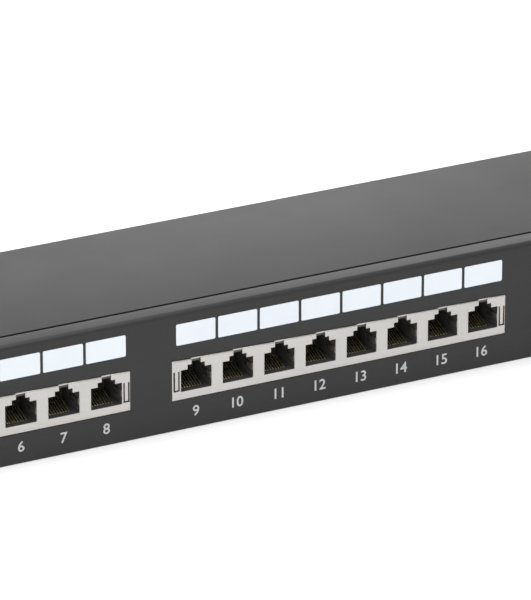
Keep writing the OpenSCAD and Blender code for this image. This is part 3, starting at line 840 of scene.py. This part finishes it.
def bent_strip_mesh(name, path, thickness, width):
    """A strip along a path of (x, y) points, thickness wide in that plane and width high along Z."""
    points = [Vector(p) for p in path]

    def build(bm):
        loops = []
        for i, point in enumerate(points):
            along = (points[min(i + 1, len(points) - 1)] - points[max(i - 1, 0)]).normalized()
            across = Vector((-along.y, along.x)) * thickness / 2
            loops.append([bm.verts.new((*(point + across * side), z * width / 2))
                          for side, z in ((1, -1), (1, 1), (-1, 1), (-1, -1))])
        skin(bm, loops)
    return smooth_sides(mesh_from(name, build))


def mirrored(right):
    """A closed outline from its right half, from the foot up."""
    return right + [(-x, z) for x, z in reversed(right)]


def number_mesh(text, height, thickness, centre, turn):
    """A printed number as a thin mesh, centred on a point; turn brings it from the XY plane."""
    curve = bpy.data.curves.new("number", "FONT")
    curve.body = text
    curve.extrude = 0.5
    curve.offset = 0.012
    curve.resolution_u = 5
    flat = new_object("number", curve)
    bpy.context.view_layer.update()
    mesh = bpy.data.meshes.new_from_object(flat.evaluated_get(bpy.context.evaluated_depsgraph_get()))
    bpy.data.curves.remove(take_mesh(flat))
    low, high = corners_of([v.co for v in mesh.vertices])
    size = height / (high.y - low.y)
    mesh.transform(Matrix.Diagonal((size, size, thickness, 1)) @ Matrix.Translation(-(low + high) / 2))
    mesh.transform(Matrix.Translation(centre) @ Euler(turn).to_matrix().to_4x4())
    return mesh


# ---------------------------------------------------------------- pieces

def finish_piece(piece, look, *nodes, body="chassis"):
    """Gives a piece its material and body; it stands for the CAD nodes named."""
    piece.data.materials.clear()
    piece.data.materials.append(finish(look))
    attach(piece, body)
    if nodes:
        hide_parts(*nodes)


def rounded_copy(name, width, look, *nodes, body="chassis"):
    """CAD nodes' shape with its edges rounded."""
    finish_piece(soften(new_object(name, clean_cad_mesh(*nodes)), width), look, *nodes, body=body)


def scatter(name, pattern, points, look, *nodes, turn=(0, 0, 0), body="chassis"):
    """Copies of a pattern mesh at points, as one piece."""
    holder = new_object(name + "_pattern", pattern)
    piece = run_tree(scatter_tree(), name, mesh_from(name, lambda bm: [bm.verts.new(p) for p in points]),
                     Pattern_piece=holder, Turn=turn, Material=finish(look))
    bpy.data.meshes.remove(take_mesh(holder))
    finish_piece(piece, look, *nodes, body=body)


def joined(name, meshes, look):
    bm = bmesh.new()
    for mesh in meshes:
        bm.from_mesh(mesh)
        bpy.data.meshes.remove(mesh)
    finish_piece(new_object(name, filled(name, bm)), look)


class PanelPiece:
    """What the operators share: undo, and a scene to work in."""
    bl_options = {"REGISTER", "UNDO"}

    @classmethod
    def poll(cls, context):
        return context.scene is not None


class PATCHPANEL_OT_stage(PanelPiece, bpy.types.Operator):
    """Adds the camera, the pale floor and soft studio lights"""
    bl_idname = "patch_panel.stage"
    bl_label = "Camera, Floor and Lights"

    def softbox(self, name, place, aim, size, watts):
        light = bpy.data.lights.new(name, "AREA")
        light.shape = "RECTANGLE"
        light.size, light.size_y = size
        light.energy = watts
        lamp = new_object(name, light)
        lamp.location = place
        lamp.rotation_euler = (Vector(aim) - Vector(place)).to_track_quat("-Z", "Y").to_euler()

    def floor_material(self):
        f = Finish("floor_pale", Roughness=0.75, Emission_Color=(1, 1, 1), Emission_Strength=0.08)
        grain = f.grain(60.0, 6.0, 0.6)
        return f.coat(Base_Color=f.mix(grain["Variation"], (0.925, 0.925, 0.925), (0.935, 0.935, 0.935)))

    def execute(self, context):
        scene = context.scene
        studio = scene.panel_studio
        away = Euler((-studio.elevation, 0, -studio.azimuth)).to_matrix() @ Vector((0, -1, 0))
        camera = new_object("camera", bpy.data.cameras.new("camera"))
        camera.data.lens = studio.lens
        camera.data.sensor_width = 36
        camera.data.clip_end = 50
        camera.location = Vector(studio.aim) + away * studio.distance
        camera.rotation_euler = (-away).to_track_quat("-Z", "Y").to_euler()
        scene.camera = camera

        base = CAD_BOX[0][2] - 0.1 * MM        # just clear of the tray's underside
        floor = new_object("floor", mesh_from("floor", lambda bm: bmesh.ops.create_grid(
            bm, x_segments=1, y_segments=1, size=6, matrix=Matrix.Translation((0, 0, base)))))
        floor.data.materials.append(self.floor_material())

        self.softbox("key_softbox", (-0.35, -0.15, 1.7), (0, 0.05, 0), (1.8, 1.4), studio.key)
        self.softbox("fill_softbox", (-1.5, -1.7, 0.8), (0, 0, 0), (1.4, 1.0), studio.fill)
        self.softbox("rear_softbox", (0.65, 1.95, 0.9), (0, 0.05, 0), (1.4, 1.0), studio.rear)

        scene.world = bpy.data.worlds.new("white_surroundings")
        scene.world.use_nodes = True
        background = scene.world.node_tree.nodes["Background"].inputs
        background["Color"].default_value = (1, 1, 1, 1)
        background["Strength"].default_value = studio.sky
        scene.view_settings.view_transform = "Standard"
        scene.view_settings.look = "None"
        return {"FINISHED"}


class PATCHPANEL_OT_sheet_metal(PanelPiece, bpy.types.Operator):
    """Adds the powder-coated front panel, base tray and top cover"""
    bl_idname = "patch_panel.sheet_metal"
    bl_label = "Painted Sheet Metal"

    def execute(self, context):
        edge = context.scene.panel_details.sheet_edge
        for node, body in (("front_panel", "chassis"), ("base_tray", "chassis"), ("top_cover", "cover")):
            rounded_copy(node + "_painted", edge, "powder_coat_black", node, body=body)
        return {"FINISHED"}


class PATCHPANEL_OT_labels(PanelPiece, bpy.types.Operator):
    """Adds the rows of write-on fields above the ports"""
    bl_idname = "patch_panel.labels"
    bl_label = "Label Fields"

    def execute(self, context):
        look = "label_film_white"
        for side in SIDES:
            node = f"port_labels_{side}"
            low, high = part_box(node)
            size = high - low
            piece = run_tree(label_row_tree(), f"label_fields_{side}", Field_height=size.z,
                             Field_width=size.x - (GROUP_SIZE - 1) * PORT_PITCH, Thickness=size.y,
                             Field_count=GROUP_SIZE, Field_pitch=PORT_PITCH, Centre=spot((low, high), y=1),
                             Material=finish(look))
            finish_piece(piece, look, node)
        return {"FINISHED"}


class PATCHPANEL_OT_port_numbers(PanelPiece, bpy.types.Operator):
    """Prints the port numbers on the front, below the jacks"""
    bl_idname = "patch_panel.port_numbers"
    bl_label = "Port Numbers"

    def execute(self, context):
        details = context.scene.panel_details
        thick = details.print_thickness
        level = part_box("jack_shield_left")[0].z - details.digit_drop
        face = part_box("front_panel")[0].y - thick / 2
        for side, numbers, ports in GROUPS:
            meshes = [number_mesh(str(number), details.digit_height, thick, (port.x, face, level), UPRIGHT)
                      for number, port in zip(numbers, ports)]
            joined(f"port_numbers_{side}", meshes, "front_print_grey")
        return {"FINISHED"}


class PATCHPANEL_OT_jack_shields(PanelPiece, bpy.types.Operator):
    """Adds the plated shields and the fingers that touch a plug's sides"""
    bl_idname = "patch_panel.jack_shields"
    bl_label = "Jack Shields"

    def finger_mesh(self, details, side):
        """One side finger, as an arc that leaves the wall, bulges into the port and returns."""
        steps, reach, stock = 12, 6.5 * MM, 0.16 * MM
        path = [(-side * (stock / 2 + details.finger_bulge * math.sin(math.pi * i / steps) ** 1.5),
                 reach * i / steps) for i in range(steps + 1)]
        return bent_strip_mesh("finger", path, stock, details.finger_width)

    def leaf_slits(self, bm, ports, low, high, back, slit):
        """Cutters for a U-shaped slit that frees a spring leaf in the post at each end of a shield."""
        leaf, tall, past = 0.6 * MM, 3.7 * MM, 0.1 * MM
        for post in ((low.x + ports[0].x - HALF_MOUTH) / 2, (high.x + ports[-1].x + HALF_MOUTH) / 2):
            foot, head = ports[0].z - tall, ports[0].z + tall
            outline = mirrored([(leaf + slit, foot), (leaf + slit, head), (leaf, head), (leaf, foot + slit)])
            skin(bm, [[bm.verts.new((post + x, y, z)) for x, z in outline] for y in (low.y - past, back)])

    def execute(self, context):
        details = context.scene.panel_details
        look = "nickel_plate_satin"
        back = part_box("jack_housings_left")[0].y
        for side, _, ports in GROUPS:
            node = f"jack_shield_{side}"
            low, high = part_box(node)
            piece = new_object(node + "_plated", clean_cad_mesh(node))
            cut_away(piece, mesh_from("slits", lambda bm: self.leaf_slits(
                bm, ports, low, high, back + 0.02 * MM, details.leaf_slit)))
            fold_front(piece.data, low, high, details.shield_fold)
            finish_piece(soften(piece, details.shield_edge), look, node)
            for wall, label in ((-1, "left"), (1, "right")):
                points = [(port.x + wall * HALF_MOUTH, back + 0.1 * MM, port.z - 0.2 * MM) for port in ports]
                scatter(f"shield_fingers_{side}_{label}", self.finger_mesh(details, wall), points, look)
        return {"FINISHED"}


class PATCHPANEL_OT_jack_housings(PanelPiece, bpy.types.Operator):
    """Adds the moulded jack housings and the combs that keep their wires apart"""
    bl_idname = "patch_panel.jack_housings"
    bl_label = "Jack Housings"

    def execute(self, context):
        look = "jack_plastic_black"
        half_rib, rib_height, short = 0.2 * MM, 1.0 * MM, 3 * MM
        for side, _, ports in GROUPS:
            node = f"jack_housings_{side}"
            rounded_copy(node + "_moulded", context.scene.panel_details.moulded_edge, look, node)
            low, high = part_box(f"jack_contacts_{side}")
            rib = new_object("rib", mesh_from("rib", lambda bm: box_into(
                bm, (-half_rib, 0, 0), (half_rib, high.y - low.y - short, rib_height))))
            points = [(port.x + (i - (CONTACTS - 2) / 2) * CONTACT_PITCH, low.y + 0.4 * MM,
                       low.z + 1.35 * MM) for port in ports for i in range(CONTACTS - 1)]
            scatter(f"contact_combs_{side}", take_mesh(soften(rib, 0.06 * MM, 1)), points, look)
        return {"FINISHED"}


class PATCHPANEL_OT_spring_wires(PanelPiece, bpy.types.Operator):
    """Adds the gold-flashed spring wires in every jack"""
    bl_idname = "patch_panel.spring_wires"
    bl_label = "Jack Contacts"

    def execute(self, context):
        look, stock = "gold_flash", 0.3 * MM
        for side in SIDES:
            node = f"jack_contacts_{side}"
            low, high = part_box(node)
            run = low.z + 1.75 * MM
            back, nose = high.y - stock / 2, low.y + stock / 2
            corners = [(back, low.z), (back, run - 0.3 * MM), (back - 0.3 * MM, run), (nose + 0.5 * MM, run),
                       (nose, run + 0.5 * MM), (nose + 0.5 * MM, run + 1.0 * MM),
                       (back - 2.2 * MM, high.z - stock / 2)]

            def path(bm):
                verts = [bm.verts.new((spot((low, high)).x, y, z)) for y, z in corners]
                for ends in zip(verts, verts[1:]):
                    bm.edges.new(ends)
            piece = run_tree(wire_rows_tree(), f"spring_wires_{side}", mesh_from("path", path),
                             Port_pitch=PORT_PITCH, Contact_pitch=CONTACT_PITCH, Wire_thickness=stock,
                             Material=finish(look))
            smooth_sides(piece.data, 40)
            finish_piece(piece, look, node)
        return {"FINISHED"}


class PATCHPANEL_OT_circuit_boards(PanelPiece, bpy.types.Operator):
    """Adds the circuit boards and the white print on them"""
    bl_idname = "patch_panel.circuit_boards"
    bl_label = "Circuit Boards"

    def outline(self, bm, low, high, level):
        """A printed frame round a terminal block."""
        line, thick = 0.2 * MM, 0.02 * MM
        for x0, x1, y0, y1 in ((low.x, high.x, low.y, low.y + line), (low.x, high.x, high.y - line, high.y),
                               (low.x, low.x + line, low.y, high.y), (high.x - line, high.x, low.y, high.y)):
            box_into(bm, (x0, y0, level), (x1, y1, level + thick))

    def execute(self, context):
        margin, digits, away = Vector((0.7 * MM, 0.7 * MM, 0)), 2.4 * MM, 3.2 * MM
        for side, numbers, _ in GROUPS:
            node = f"circuit_board_{side}"
            rounded_copy(node + "_lacquered", context.scene.panel_details.board_edge, "solder_mask_green",
                         node)
            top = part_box(node)[1].z
            meshes = []
            for number in numbers:
                low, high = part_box(block(number))
                meshes.append(mesh_from("outline", lambda bm: self.outline(bm, low - margin, high + margin,
                                                                           top)))
                y = low.y - away if number % 2 else high.y + away
                meshes.append(number_mesh(str(number), digits, 0.02 * MM,
                                          (spot((low, high)).x, y, top + 0.01 * MM), (0, 0, math.pi)))
            joined(f"board_print_{side}", meshes, "board_print_white")
        return {"FINISHED"}


class PATCHPANEL_OT_terminal_blocks(PanelPiece, bpy.types.Operator):
    """Adds the terminal blocks and their coloured wire marks"""
    bl_idname = "patch_panel.terminal_blocks"
    bl_label = "Terminal Blocks"
    # The marks along a block: each wire's pair, and whether the wire is the striped one
    order = (("orange", True), ("orange", False), ("green", True), ("blue", False), ("blue", True),
             ("green", False), ("brown", True), ("brown", False))

    def mark(self, name, width, thick, points, look):
        tall = 3.4 * MM
        half = Vector((width, thick, tall)) / 2
        scatter(name, mesh_from("mark", lambda bm: box_into(bm, -half, half)), points, look)

    def execute(self, context):
        edge = context.scene.panel_details.moulded_edge
        for side, numbers, _ in GROUPS:
            rounded_copy(f"terminal_blocks_{side}", edge, "terminal_plastic_white", *map(block, numbers))

        wide, stripe, thick, up, pitch = 2.3 * MM, 0.8 * MM, 0.08 * MM, 3.4 * MM, wire_pitch()
        marks = {mark: [] for mark in self.order}
        for number in range(1, len(MOUTHS) + 1):
            low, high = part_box(block(number))
            for face in (low.y, high.y):
                for i, mark in enumerate(self.order):
                    x = spot((low, high)).x + (i - (CONTACTS - 1) / 2) * pitch
                    marks[mark].append((x, face, low.z + up))
        for pair in ("blue", "orange", "green", "brown"):
            look = f"wire_mark_{pair}"
            self.mark(f"wire_marks_{pair}_solid", wide, thick, marks[pair, False], look)
            self.mark(f"wire_marks_{pair}_stripe", stripe, thick * 1.5, marks[pair, True], look)
        white = [point for mark in self.order if mark[1] for point in marks[mark]]
        self.mark("wire_marks_white", wide, thick, white, "label_film_white")
        return {"FINISHED"}


class PATCHPANEL_OT_forks(PanelPiece, bpy.types.Operator):
    """Adds the forked contacts that cut through a wire's insulation"""
    bl_idname = "patch_panel.forks"
    bl_label = "Terminal Forks"

    def outline(self, bm, width, height):
        half, slit, shoulder = width / 2, 0.15 * MM, 1.2 * MM
        right = [(half, 0), (half, height - shoulder), (0.45 * MM, height - 0.3 * MM),
                 (slit, height - 1.1 * MM), (slit, height - 7 * MM)]
        bm.faces.new([bm.verts.new((x, 0, z)) for x, z in mirrored(right)])

    def execute(self, context):
        look = "tin_plate_dull"
        for side, numbers, ports in GROUPS:
            node = f"idc_contacts_{side}"
            low, high = solids_in(node)[0]
            size = high - low
            middle = sum(port.x for port in ports) / GROUP_SIZE
            front, rear = (Vector((middle, spot(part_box(block(number))).y + size.y / 2, low.z))
                           for number in numbers[:2])
            shape = mesh_from("fork", lambda bm: self.outline(bm, size.x, size.z))
            piece = run_tree(fork_rows_tree(), f"terminal_forks_{side}", shape, Thickness=size.y,
                             Wire_pitch=wire_pitch(), Block_pitch=2 * PORT_PITCH, Front_centre=front,
                             Rear_centre=rear, Material=finish(look))
            finish_piece(piece, look, node)
        return {"FINISHED"}


class PATCHPANEL_OT_clamps(PanelPiece, bpy.types.Operator):
    """Adds the plated clamps that grip the cables' screens"""
    bl_idname = "patch_panel.clamps"
    bl_label = "Shield Clamps"

    def execute(self, context):
        for side in SIDES:
            node = f"shield_clamp_{side}"
            rounded_copy(node + "_plated", context.scene.panel_details.shield_edge, "clamp_plate_satin", node)
        return {"FINISHED"}


class PATCHPANEL_OT_fasteners(PanelPiece, bpy.types.Operator):
    """Adds screws, nuts, standoffs and rivets"""
    bl_idname = "patch_panel.fasteners"
    bl_label = "Screws, Nuts and Rivets"

    def execute(self, context):
        look, head, dome = "zinc_plate_bright", 1.8 * MM, 1.0 * MM
        size, points = solid_spots("cover_screws", 1, head)
        scatter("cover_screw_set", pan_head_mesh(size.x / 2, head, 1.5 * MM, size.y - head), points, look,
                "cover_screws", turn=INTO_RACK, body="cover")
        size, points = solid_spots("board_screws", 2, head)
        scatter("board_screw_set", pan_head_mesh(size.x / 2, head, 1.4 * MM, size.z - head), points, look,
                "board_screws")
        size, points = solid_spots("board_standoffs", 2)
        post = hex_mesh(size.x / 2, size.z, 1.43 * MM, 0.25 * MM, depth=size.z - 1 * MM)
        scatter("board_standoff_set", post, points, look, "board_standoffs")
        size, points = solid_spots("panel_nuts", 1)
        scatter("panel_nut_set", hex_mesh(size.x / 2, size.y, 1.52 * MM, 0.3 * MM), points, look,
                "panel_nuts", turn=INTO_RACK)

        size, points = solid_spots("clamp_rivets", 2, dome)
        wide, foot, shank = size.x / 2, dome - size.z, 1.5 * MM
        profile = [(0, foot), (shank - 0.15 * MM, foot), (shank, foot + 0.15 * MM), (shank, 0),
                   *((wide * share, level * MM) for share, level in
                     ((0.96, 0), (1, 0.12), (0.93, 0.45), (0.72, 0.8), (0.4, 0.96), (0, 1)))]
        scatter("clamp_rivet_set", lathe_mesh("rivet", profile), points, look, "clamp_rivets")
        return {"FINISHED"}


class PATCHPANEL_OT_ground(PanelPiece, bpy.types.Operator):
    """Adds the ground stud with its thread, washer and nut, and the earth mark beside it"""
    bl_idname = "patch_panel.ground"
    bl_label = "Ground Stud"

    def earth_mark(self, bm, x, y, floor):
        """A stem and three bars that get shorter."""
        line, thick = 0.3 * MM, 0.03 * MM
        box_into(bm, (x - line, y, floor), (x + line, y + 3 * MM, floor + thick))
        for row, half in enumerate((2.6 * MM, 1.7 * MM, 0.8 * MM)):
            level = y - row * 1.1 * MM
            box_into(bm, (x - half, level - line, floor), (x + half, level + line, floor + thick))

    def execute(self, context):
        look = "zinc_plate_bright"
        low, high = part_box("ground_stud")
        foot = spot((low, high), z=0)
        shoulder, tall = (high.x - low.x) / 2, high.z - low.z
        base, thread, pitch, depth = 4.4 * MM, 2.0 * MM, 0.7 * MM, 0.36 * MM
        core = thread - depth * 0.75
        profile = [(0, 0), (shoulder, 0), (shoulder, base - 0.2 * MM), (shoulder - 0.2 * MM, base),
                   (core, base), (core, tall - 0.7 * MM), (core - 0.5 * MM, tall), (0, tall)]
        finish_piece(new_object("ground_stud_core", lathe_mesh("stud", profile, 40, foot)), look,
                     "ground_stud")
        ridge = run_tree(thread_tree(), "ground_stud_thread", Radius=thread, Pitch=pitch, Depth=depth,
                         Turns=(tall - base - 1.3 * MM) / pitch, Material=finish(look),
                         Start=foot + Vector((0, 0, base + 0.35 * MM)))
        smooth_sides(ridge.data, 50)
        finish_piece(ridge, look)

        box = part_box("ground_washer")
        under = spot(box, z=0).z
        outer, tall, bore, edge = (box[1].x - box[0].x) / 2, box[1].z - under, shoulder + CLEAR, 0.15 * MM
        ring = [(bore, 0), (outer - edge, 0), (outer, edge), (outer, tall - edge), (outer - edge, tall),
                (bore, tall), (bore, 0)]
        washer = lathe_mesh("washer", ring, 48, (foot.x, foot.y, under))
        finish_piece(new_object("ground_washer_turned", washer), look, "ground_washer")

        low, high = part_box("ground_nut")
        scatter("ground_nut_brass", hex_mesh((high.x - low.x) / 2, high.z - low.z, bore, 0.4 * MM),
                [(foot.x, foot.y, low.z)], "brass_turned", "ground_nut")
        mark = mesh_from("mark", lambda bm: self.earth_mark(bm, foot.x + 9 * MM, foot.y, under))
        finish_piece(new_object("earth_mark", mark), "front_print_grey")
        return {"FINISHED"}


OPERATORS = (PATCHPANEL_OT_stage, PATCHPANEL_OT_sheet_metal, PATCHPANEL_OT_labels,
             PATCHPANEL_OT_port_numbers, PATCHPANEL_OT_jack_shields, PATCHPANEL_OT_jack_housings,
             PATCHPANEL_OT_spring_wires, PATCHPANEL_OT_circuit_boards, PATCHPANEL_OT_terminal_blocks,
             PATCHPANEL_OT_forks, PATCHPANEL_OT_clamps, PATCHPANEL_OT_fasteners, PATCHPANEL_OT_ground)
SETTINGS = {"panel_colours": PanelColours, "panel_details": PanelDetails, "panel_studio": PanelStudio}


class PATCHPANEL_PT_sidebar(bpy.types.Panel):
    """Lists the panel's pieces in the order that they are made"""
    bl_idname = "PATCHPANEL_PT_sidebar"
    bl_label = "Patch Panel"
    bl_space_type = "VIEW_3D"
    bl_region_type = "UI"
    bl_category = "Patch Panel"

    def draw(self, context):
        for name, group in SETTINGS.items():
            box = self.layout.box()
            for setting in group.__annotations__:
                box.prop(getattr(context.scene, name), setting)
        for operator in OPERATORS:
            self.layout.operator(operator.bl_idname)


CLASSES = (*SETTINGS.values(), *OPERATORS, PATCHPANEL_PT_sidebar)


def register():
    for item in CLASSES:
        bpy.utils.register_class(item)
    for name, group in SETTINGS.items():
        setattr(bpy.types.Scene, name, PointerProperty(type=group))


def unregister():
    for name in SETTINGS:
        delattr(bpy.types.Scene, name)
    for item in reversed(CLASSES):
        bpy.utils.unregister_class(item)


def main():
    register()
    for operator in OPERATORS:
        package, name = operator.bl_idname.split(".")
        if getattr(getattr(bpy.ops, package), name)() != {"FINISHED"}:
            raise RuntimeError(f"{operator.bl_idname} did not finish")


if __name__ == "__main__":
    main()
